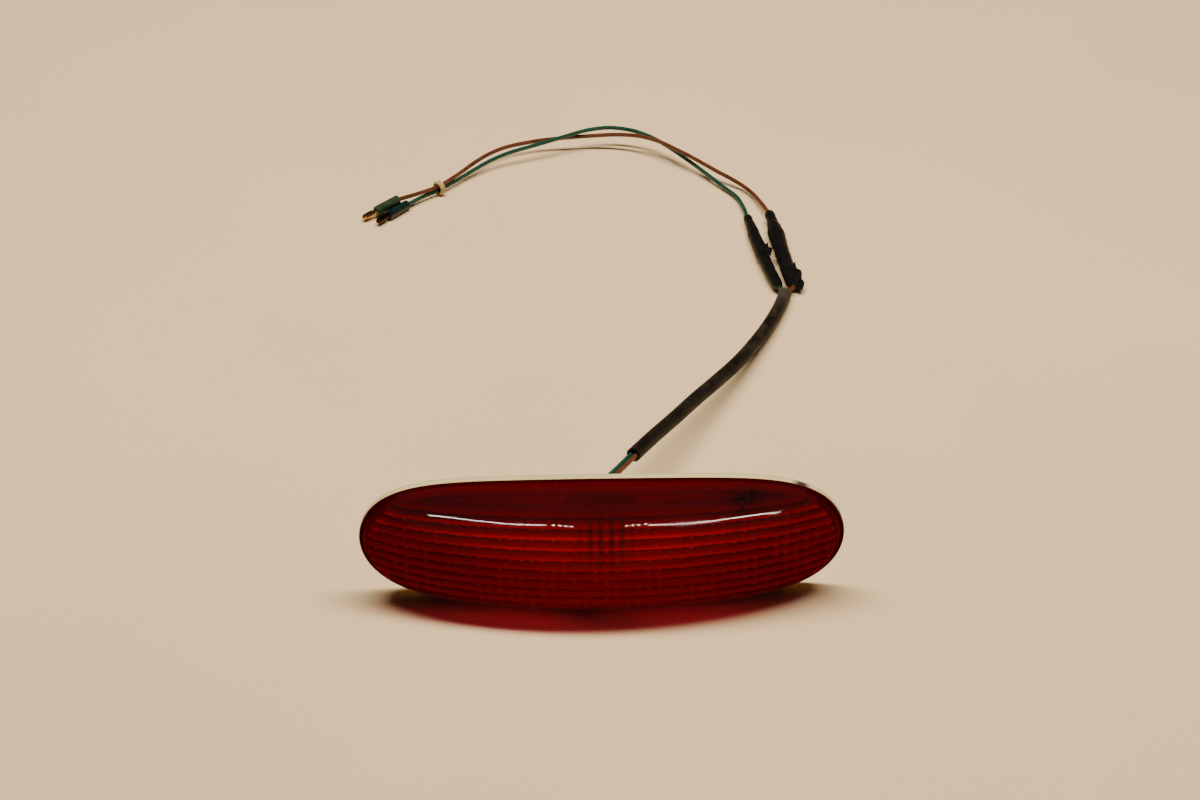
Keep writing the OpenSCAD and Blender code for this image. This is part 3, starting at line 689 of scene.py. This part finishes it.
MATERIALS = {
    "lens_red": red_acrylic(),
    "lens_optics": lens_optics(),
    "lens_flutes": lens_flutes(),
    "seal_black": plastic("seal_black", (0.012,) * 3, (0.03,) * 3, 0.5, 0.7),
    "housing_cream": cream_plastic(),
    "foam_pale": foam(),
    "zinc_steel": worn_metal("zinc", (0.42, 0.40, 0.33), (0.66, 0.64, 0.56), 0.28, 0.5),
    "reflector_metallised": metallised(),
    "bulb_clear": clear_glass(),
    "cap_brass": worn_metal("cap_brass", (0.5, 0.43, 0.28), (0.72, 0.64, 0.45), 0.2, 0.4),
    "vitrite_black": plastic("vitrite", (0.006,) * 3, (0.014,) * 3, 0.08, 0.2),
    "solder": worn_metal("solder", (0.42,) * 3, (0.62,) * 3, 0.3, 0.5),
    "tungsten": worn_metal("tungsten", (0.10,) * 3, (0.2,) * 3, 0.35, 0.5),
    "nylon_grey": plastic("nylon_grey", (0.055, 0.052, 0.062), (0.10, 0.095, 0.11), 0.4, 0.55),
    "rubber_black": plastic("rubber", (0.008,) * 3, (0.022,) * 3, 0.6, 0.8),
    "brass_bright": worn_metal(
        "brass_bright", (0.46, 0.27, 0.06), (0.80, 0.56, 0.17), 0.22, 0.42, (0.08, 0.045, 0.02)),
    "brass_dark": worn_metal(
        "brass_dark", (0.05, 0.028, 0.014), (0.13, 0.07, 0.03), 0.4, 0.6, (0.025, 0.015, 0.01)),
    "phenolic_brown": plastic("phenolic", (0.13, 0.06, 0.02), (0.24, 0.12, 0.05), 0.5, 0.7),
    "spring_steel": worn_metal("spring_steel", (0.36,) * 3, (0.55,) * 3, 0.2, 0.35),
    "wire_green": plastic("wire_green", (0.006, 0.043, 0.028), (0.012, 0.068, 0.044), 0.36, 0.52),
    "wire_brown": plastic("wire_brown", (0.075, 0.022, 0.009), (0.125, 0.042, 0.018), 0.36, 0.52),
    "tube_black": worn_tube(),
    "tape_black": tape(),
    "nylon_natural": nylon(),
    "sleeve_green": plastic("sleeve_green", (0.014, 0.028, 0.014), (0.032, 0.058, 0.028), 0.3, 0.45),
    "sleeve_dark": plastic("sleeve_dark", (0.003, 0.010, 0.010), (0.006, 0.020, 0.019), 0.3, 0.45),
}


def paint(obj, slot, material=None):
    """Gives a piece the finish of its slot, or another material under that slot."""
    obj.data.materials.clear()
    obj.data.materials.append(MATERIALS[material or slot])


def place_piece(obj, body, slot, *nodes):
    """Paints a new piece, ties it to its body and lets it stand for CAD nodes."""
    paint(obj, slot)
    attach(obj, body)
    if nodes:
        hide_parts(*nodes)


# Harness

def splice(name, route, radii, twist, squeeze):
    """A wire joint wound in tape: each turn of tape stands a little above the last."""
    line = spline_points(route, SPLICE_STEPS)
    base = spline_values(radii, SPLICE_STEPS)
    along = [0.0]
    for a, b in zip(line, line[1:]):
        along.append(along[-1] + (b - a).length)
    dents = [random.uniform(-1, 1) for _ in range(DENT_COUNT)]

    def radius_at(i, turn):
        wound = (along[i] / TAPE_PITCH + twist * turn) % 1
        ridge = TAPE_STEP * (wound - 0.5)
        row = along[i] / DENT_LENGTH
        column = turn * DENTS_ROUND
        number = (int(row) * DENTS_ROUND + int(column)) % DENT_COUNT
        dent = DENT_DEPTH * dents[number] * math.sin(math.pi * (row % 1))
        dent *= math.sin(math.pi * (column % 1))
        flat = 1 - squeeze * math.sin(2 * math.pi * turn) ** 2
        return base[i] * flat + ridge + dent

    return sweep(name, line, radius_at, ROUND_SIDES)


def tape_flap(name, spine, half_widths, across):
    """A loose end of tape: a thin crinkled strip along a spine."""
    line = spline_points(spine, FLAP_STEPS)
    half = spline_values(half_widths, FLAP_STEPS)
    verts = []
    for i, p in enumerate(line):
        for k in range(FLAP_COLUMNS):
            u = 2 * k / (FLAP_COLUMNS - 1) - 1
            crinkle = FLAP_CRINKLE * math.sin(1.3 * u + 0.55 * i) * math.sin(0.35 * i + 2 * u)
            ragged = 1 + FLAP_RAGGED * math.sin(0.8 * i + 2 * u) * abs(u)
            verts.append(p + Vector(across) * (u * half[i] * ragged) + Vector((0, 0, crinkle)))
    obj = mesh_object(name, verts, bands(len(line), FLAP_COLUMNS, False))
    thick = obj.modifiers.new("thickness", "SOLIDIFY")
    thick.thickness = TAPE_T
    thick.offset = 0
    return obj


def tape_cuff(name, route, radius, length):
    """The straight-cut end of the tape, where the lead comes out."""
    end, before = Vector(route[-1]), Vector(route[-2])
    back = (before - end).normalized()
    profile = [
        (WIRE_R, 0), (radius, 0), (radius + TAPE_STEP, length / 2), (radius, length), (WIRE_R, length),
    ]
    return lathe(name, profile, end, back, CUFF_SIDES)


def tube_rim(name, end, out):
    """The cut end of the sleeving, a little rounded at both its edges."""
    profile = [
        (TUBE_BORE_R, -TUBE_BORE_EDGE), (TUBE_BORE_R + TUBE_BORE_EDGE, 0),
        (TUBE_R - TUBE_EDGE, 0), (TUBE_R, -TUBE_EDGE),
    ]
    return lathe(name, profile, end, out, ROUND_SIDES)


def tube_piece(line):
    """Hollow sleeving with slightly uneven walls."""

    def outer_radius(i, turn):
        wave = math.sin(TUBE_WAVE * i + 1) * math.cos(4 * math.pi * turn)
        return TUBE_R * (1 + TUBE_UNEVEN * wave)

    def bore_radius(i, turn):
        return TUBE_BORE_R

    outer = sweep("tube_outer", line, outer_radius, ROUND_SIDES, False)
    bore = sweep("tube_inner", line[::-1], bore_radius, ROUND_SIDES, False)
    near_rim = tube_rim("tube_rim_near", line[0], (line[0] - line[1]).normalized())
    far_rim = tube_rim("tube_rim_far", line[-1], (line[-1] - line[-2]).normalized())
    return joined("tube", [outer, bore, near_rim, far_rim])


def pigtail_line(side, splice_route):
    """From the holder through the sleeving and on into the first part of the taped joint."""
    route = [*beside(EXIT_ROUTE, side * WIRE_GAP), *beside(TUBE_ROUTE, side * WIRE_GAP)]
    return spline_points([*route, *splice_route[:PIGTAIL_END]], WIRE_STEPS)


tube_line = spline_points(TUBE_ROUTE, TUBE_STEPS)
tube = tube_piece(tube_line)
place_piece(tube, "root", "tube_black", "harness_tube")

wraps = {
    "green": splice("splice_green_wrap", SPLICE_GREEN_ROUTE, SPLICE_GREEN_R, twist=1, squeeze=0.06),
    "brown": splice("splice_brown_wrap", SPLICE_BROWN_ROUTE, SPLICE_BROWN_R, twist=-1, squeeze=0.10),
}
for name, wrap in wraps.items():
    place_piece(wrap, "root", "tape_black", f"splice_{name}")

flaps = {
    "brown": tape_flap("splice_brown_flap", *FLAP_BROWN),
    "green": tape_flap("splice_green_flap", *FLAP_GREEN),
}
cuffs = {
    "brown": tape_cuff("splice_brown_cuff", SPLICE_BROWN_ROUTE, *CUFF_BROWN),
    "green": tape_cuff("splice_green_cuff", SPLICE_GREEN_ROUTE, *CUFF_GREEN),
}
for piece in [*flaps.values(), *cuffs.values()]:
    place_piece(piece, "root", "tape_black")

for name, side, route in (("green", -1, SPLICE_GREEN_ROUTE), ("brown", 1, SPLICE_BROWN_ROUTE)):
    line = pigtail_line(side, route)
    pigtail = wire_curve(f"pigtail_{name}_wire", line, WIRE_R)
    place_piece(pigtail, "root", f"wire_{name}", f"pigtail_{name}")

for name, route in (("green", LEAD_GREEN_ROUTE), ("brown", LEAD_BROWN_ROUTE)):
    line = spline_points(route, WIRE_STEPS)
    lead = wire_curve(f"lead_{name}_wire", line, WIRE_R)
    place_piece(lead, "root", f"wire_{name}", f"lead_{name}")


# Lens

def outline_height(u):
    """Share of the half height at a share of the half length."""
    return (1 - EDGE_FALL * u * u) * math.sqrt(max(0.0, 1 - abs(u) ** END_POWER))


def outline_stations(count):
    """(share of the half length, distance) pairs, evenly spaced along the outline from end to end."""
    fine = [math.sin(math.pi * (i / OUTLINE_STEPS - 0.5)) for i in range(OUTLINE_STEPS + 1)]
    along = [0.0]
    for a, b in zip(fine, fine[1:]):
        rise = HALF_H * (outline_height(b) - outline_height(a))
        along.append(along[-1] + math.hypot(HALF_W * (b - a), rise))
    stations = []
    k = 0
    for i in range(count):
        want = along[-1] * i / (count - 1)
        while k < len(along) - 2 and along[k + 1] < want:
            k += 1
        t = (want - along[k]) / (along[k + 1] - along[k])
        stations.append((fine[k] + (fine[k + 1] - fine[k]) * min(t, 1), want))
    return stations


def dome_angles(count):
    """Angles over the dome from its top edge, 0, past the crest, 90, to its bottom edge, 180."""
    half = count // 2
    out = []
    for i in range(half + 1):
        s = i / half
        a, b = s ** DOME_EASE, (1 - s) ** DOME_EASE
        out.append(90 * a / (a + b))
    return out + [180 - a for a in out[-2::-1]]


def dome_point(u, angle, inset):
    """A point of the dome about the lamp's centre."""
    a, b = HALF_W - inset, HALF_H - inset
    sign = 1 if angle <= 90 else -1
    turn = math.radians(min(angle, 180 - angle))
    share = outline_height(u)
    crown = (CROWN_TOP + CROWN_BOTTOM) / 2 + (CROWN_TOP - CROWN_BOTTOM) / 2 * share * sign
    shrink = max(math.cos(turn), 0.0) ** (2 / crown)
    x = u * (a - b * (1 - shrink))
    depth = LENS_DEPTH * (1 - BOW * (x / HALF_W) ** 2) - inset
    z = sign * share * b * shrink
    lean = 1 - FACE_LEAN * z / HALF_H
    y = -depth * lean * max(math.sin(turn), 0.0) ** (2 / crown)
    return Vector((x, y, z))


def grid_normals(rows, count):
    """Outward normals of a grid of points, by differences along it."""
    normals = []
    last = len(rows) - 1
    for j, row in enumerate(rows):
        for i, p in enumerate(row):
            du = row[min(i + 1, count - 1)] - row[max(i - 1, 0)]
            dv = rows[min(j + 1, last)][i] - rows[max(j - 1, 0)][i]
            n = du.cross(dv)
            if n.length < NO_AREA:
                n = Vector((p.x, 0, p.z))
            n.normalize()
            roughly_outward = Vector((0.1 * p.x, p.y - 0.01, 0.5 * p.z))
            normals.append(n if n.dot(roughly_outward) >= 0 else -n)
    return normals


def flute_reach(x):
    """How far the flutes reach in from the lens's edge: less where it is shallow."""
    return FLUTE_REACH * (1 - FLUTE_FADE * (x / HALF_W) ** 2)


def in_optics(p):
    """Whether a point of the dome lies in the field of pillows."""
    return abs(p.z) < OPTICS_TOP and abs(p.x) < OPTICS_END and p.y < -flute_reach(p.x)


def optics_cut(p, along):
    """How far the inside is cut back into the wall: pillows in front, flutes round the edge."""
    reach = flute_reach(p.x)
    inside = flow(OPTICS_TOP - abs(p.z), 0, OPTICS_TOP_BLEND)
    inside *= flow(OPTICS_END - abs(p.x), 0, OPTICS_BLEND)
    inside *= flow(-p.y, reach, reach + OPTICS_BLEND)
    fx = 2 * ((p.x / PILLOW_W) % 1) - 1
    fz = 2 * (((OPTICS_TOP - p.z) / PILLOW_H) % 1) - 1
    pillow = PILLOW_CUT_X * fx * fx + PILLOW_CUT_Z * fz * fz
    edge = flow(-p.y, FLUTE_START, FLUTE_FULL) * (1 - flow(-p.y, reach - FLUTE_BLEND, reach))
    flute = FLUTE_DEPTH * abs(2 * ((along / FLUTE_W) % 1) - 1)
    return inside * pillow + edge * flute


def lens_skin(inset, columns, rows, optics):
    """The points of one skin of the dome, row by row."""
    stations = outline_stations(columns)
    grid = [[dome_point(u, a, inset) for u, _ in stations] for a in dome_angles(rows)]
    if optics:
        normals = grid_normals(grid, columns)
        for j in range(1, rows - 1):
            for i, p in enumerate(grid[j]):
                grid[j][i] = p + normals[j * columns + i] * optics_cut(p, stations[i][1])
    return [LENS_CENTRE + p for row in grid for p in row]


def lens_piece():
    """One closed skin: smooth outside, the tongue, and the optics inside."""
    outer_faces = [f[::-1] for f in bands(OUTER_ROWS, OUTER_COLUMNS, False)]
    inner_faces = bands(INNER_ROWS, INNER_COLUMNS, False)
    outer = mesh_object("lens_outer", lens_skin(0, OUTER_COLUMNS, OUTER_ROWS, False), outer_faces)
    inner = mesh_object("lens_inner", lens_skin(LENS_WALL, INNER_COLUMNS, INNER_ROWS, True), inner_faces)
    lens = joined("lens_shell", [outer, inner, tongue_piece()])
    weld = lens.modifiers.new("weld", "WELD")
    weld.merge_threshold = WELD_DISTANCE
    return lens, range(len(outer_faces), len(outer_faces) + len(inner_faces))


def give_optics(lens, inner_faces):
    """The field of pillows has one finish, and the flutes and the welded tongue another."""
    lens.data.materials.append(MATERIALS["lens_optics"])
    lens.data.materials.append(MATERIALS["lens_flutes"])
    for i in inner_faces:
        face = lens.data.polygons[i]
        p = face.center - LENS_CENTRE
        if in_optics(p):
            face.material_index = OPTICS_INDEX
        elif -p.y < flute_reach(p.x):
            face.material_index = FLUTES_INDEX
    for i in range(inner_faces.stop, len(lens.data.polygons)):
        lens.data.polygons[i].material_index = FLUTES_INDEX


def outline_ring(inset, y):
    """The closed outline of the lens at an inset and a depth."""
    stations = outline_stations(OUTER_COLUMNS)
    a, b = HALF_W - inset, HALF_H - inset
    top = [Vector((a * u, y, b * outline_height(u))) for u, _ in stations]
    bottom = [Vector((p.x, p.y, -p.z)) for p in top[-2:0:-1]]
    return top + bottom


def tongue_piece():
    """The rim that joins the two skins and stands in the housing's groove."""
    rings = [
        outline_ring(0, 0), outline_ring(TONGUE_OUT, 0), outline_ring(TONGUE_OUT, TONGUE_H),
        outline_ring(LENS_WALL, TONGUE_H), outline_ring(LENS_WALL, 0),
    ]
    verts = [LENS_CENTRE + p for ring in rings for p in ring]
    return mesh_object("lens_tongue", verts, bands(len(rings), len(rings[0]), True), False)


lens, lens_inside = lens_piece()
place_piece(lens, "root", "lens_red", "lens")
give_optics(lens, lens_inside)


# Studs, spring and filament

def threaded_rod(name, place, end):
    """A rod along +Y from place: a plain shank, then a helical thread with a chamfered tip."""
    thread_start = place.y + STUD_PLAIN
    rows = int((end - place.y) / THREAD_STEP)
    verts = []
    for j in range(rows + 1):
        y = place.y + j * THREAD_STEP
        for k in range(THREAD_SIDES):
            a = 2 * math.pi * k / THREAD_SIDES
            phase = (y / THREAD_PITCH + k / THREAD_SIDES) % 1
            cut = THREAD_DEPTH * abs(2 * phase - 1) * flow(y, thread_start, thread_start + THREAD_RUN_IN)
            r = min(STUD_R - cut, STUD_R - STUD_CHAMFER + max(end - y, 0))
            verts.append(Vector((place.x + r * math.cos(a), y, place.z + r * math.sin(a))))
    faces = bands(rows + 1, THREAD_SIDES, True)
    faces.append(cap(rows * THREAD_SIDES, THREAD_SIDES))
    return mesh_object(name, verts, faces)


def studs_piece():
    """Both studs, each with its hexagonal head."""
    lo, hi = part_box("mounting_studs")
    head_r = (hi.z - lo.z) / 2
    head = [(0.0, 0), (head_r, 0), (head_r, STUD_HEAD_T), (STUD_R, STUD_HEAD_T)]
    pieces = []
    for side in (-1, 1):
        place = Vector((side * STUD_HALF_PITCH, lo.y, CENTRE_Z))
        pieces.append(threaded_rod(f"stud_{side}", place, hi.y))
        pieces.append(lathe(f"stud_head_{side}", head, place, (0, 1, 0), STUD_HEAD_SIDES))
    return joined("studs_threaded", pieces)


def helix_piece(name, place, axis, turns, length, coil_r, wire_r):
    """A coil of round wire along an axis, from place."""
    turn = Vector((0, 0, 1)).rotation_difference(Vector(axis))
    count = turns * COIL_STEPS
    line = []
    for i in range(count + 1):
        a = 2 * math.pi * i / COIL_STEPS
        spot = Vector((coil_r * math.cos(a), coil_r * math.sin(a), length * i / count))
        line.append(Vector(place) + turn @ spot)
    return sweep(name, line, lambda i, turn: wire_r, COIL_SIDES, axis=axis)


place_piece(studs_piece(), "root", "zinc_steel", "mounting_studs")

spring_lo, spring_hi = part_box("contact_spring")
spring_l = spring_hi.y - spring_lo.y
spring = helix_piece(
    "spring_coil", (0, spring_lo.y + SPRING_WIRE_R, CENTRE_Z), (0, 1, 0), SPRING_TURNS,
    spring_l - 2 * SPRING_WIRE_R, (spring_hi.x - spring_lo.x) / 2 - SPRING_WIRE_R, SPRING_WIRE_R)
place_piece(spring, "holder", "spring_steel", "contact_spring")
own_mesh(spring)

wire_lo, wire_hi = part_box("bulb_filament")
filament = helix_piece(
    "filament_coil", (wire_lo.x, (wire_lo.y + wire_hi.y) / 2, CENTRE_Z), (1, 0, 0), FILAMENT_TURNS,
    wire_hi.x - wire_lo.x, FILAMENT_R, FILAMENT_WIRE_R)
place_piece(filament, "bulb", "tungsten", "bulb_filament")


# CAD nodes that stay as they are

NODE_SLOTS = {s["node"]: s["material_slot"] for s in frame["record"]["subparts"]}
for node, obj in frame["nodes"].items():
    paint(obj, NODE_SLOTS[node], "sleeve_dark" if node == "bullet_sleeve_green" else None)


# Stage

def floor(name, front, back, glossy):
    """A stretch of the plain floor, which shows in gloss or doesn't."""
    left, right = -FLOOR_REACH, FLOOR_REACH
    verts = [(left, front, 0), (right, front, 0), (right, back, 0), (left, back, 0)]
    obj = mesh_object(name, verts, [(0, 1, 2, 3)], False)
    obj.visible_glossy = glossy
    s = Shader(name, Roughness=0.6, IOR=1.4)
    s.colour(s.ramp(s.noise(3, 4), (0.3, (0.775, 0.560, 0.325)), (0.7, (0.815, 0.590, 0.345))))
    obj.data.materials.append(s.material)


def area_light(name, place, turn, size, power, colour):
    data = bpy.data.lights.new(name, "AREA")
    data.shape = "RECTANGLE"
    data.size, data.size_y = size
    data.energy = power
    data.color = colour
    lamp = bpy.data.objects.new(name, data)
    bpy.context.scene.collection.objects.link(lamp)
    lamp.location = place
    lamp.rotation_mode = "QUATERNION"
    lamp.rotation_quaternion = turn
    return lamp


def soft_box(name, place, target, size, power, colour):
    """A broad light that doesn't show itself in gloss or through glass."""
    turn = (Vector(target) - Vector(place)).to_track_quat("-Z", "Y")
    lamp = area_light(name, place, turn, size, power, colour)
    lamp.visible_glossy = False
    lamp.visible_transmission = False


def reflected_lamp(name, start, end, width, radiance, colour):
    """A lamp from start to end that only shows as a reflection."""
    start, end = Vector(start), Vector(end)
    middle = (start + end) / 2
    along = (end - start).normalized()
    back = (middle - Vector((0, 0, CENTRE_Z))).normalized()
    across = back.cross(along).normalized()
    turn = Matrix((along, across, along.cross(across))).transposed().to_quaternion()
    length = (end - start).length
    power = radiance * math.pi * length * width
    lamp = area_light(name, middle, turn, (length, width), power, colour)
    lamp.visible_diffuse = False
    lamp.visible_transmission = False


def sky(colour, strength):
    world = bpy.data.worlds.new("world")
    world.use_nodes = True
    back = world.node_tree.nodes["Background"]
    back.inputs["Color"].default_value = (*colour, 1)
    back.inputs["Strength"].default_value = strength
    bpy.context.scene.world = world


floor("floor", FLOOR_SPLIT, FLOOR_REACH, True)
floor("floor_front", -FLOOR_REACH, FLOOR_SPLIT, False)
soft_box("overhead", OVERHEAD_PLACE, OVERHEAD_TARGET, OVERHEAD_SIZE, OVERHEAD_POWER, WARM)

# What the gloss of the lens shows: two dim walls, two long lamps and a row of short ones between them
for name, y, z, width in ROOM_WALLS:
    reflected_lamp(name, (-ROOM_HALF_W, y, z), (ROOM_HALF_W, y, z), width, ROOM_RADIANCE, COOL)
reflected_lamp("tube_left", *LAMP_LEFT, LAMP_W, LAMP_RADIANCE, WARM)
reflected_lamp("tube_right", *LAMP_RIGHT, LAMP_W, LAMP_RADIANCE, WARM)
for i in range(GAP_LAMPS):
    for side, outermost in ((-1, GAP_LAMP_LEFT), (1, GAP_LAMP_RIGHT)):
        x = outermost - side * i * GAP_LAMP_STEP
        start, end = (x, GAP_LAMP_Y, GAP_LAMP_Z), (x + GAP_LAMP_L, GAP_LAMP_Y, GAP_LAMP_Z)
        reflected_lamp(f"tube_gap_{side}_{i}", start, end, GAP_LAMP_W, GAP_RADIANCE, WARM)
sky(WARM, SKY_STRENGTH)
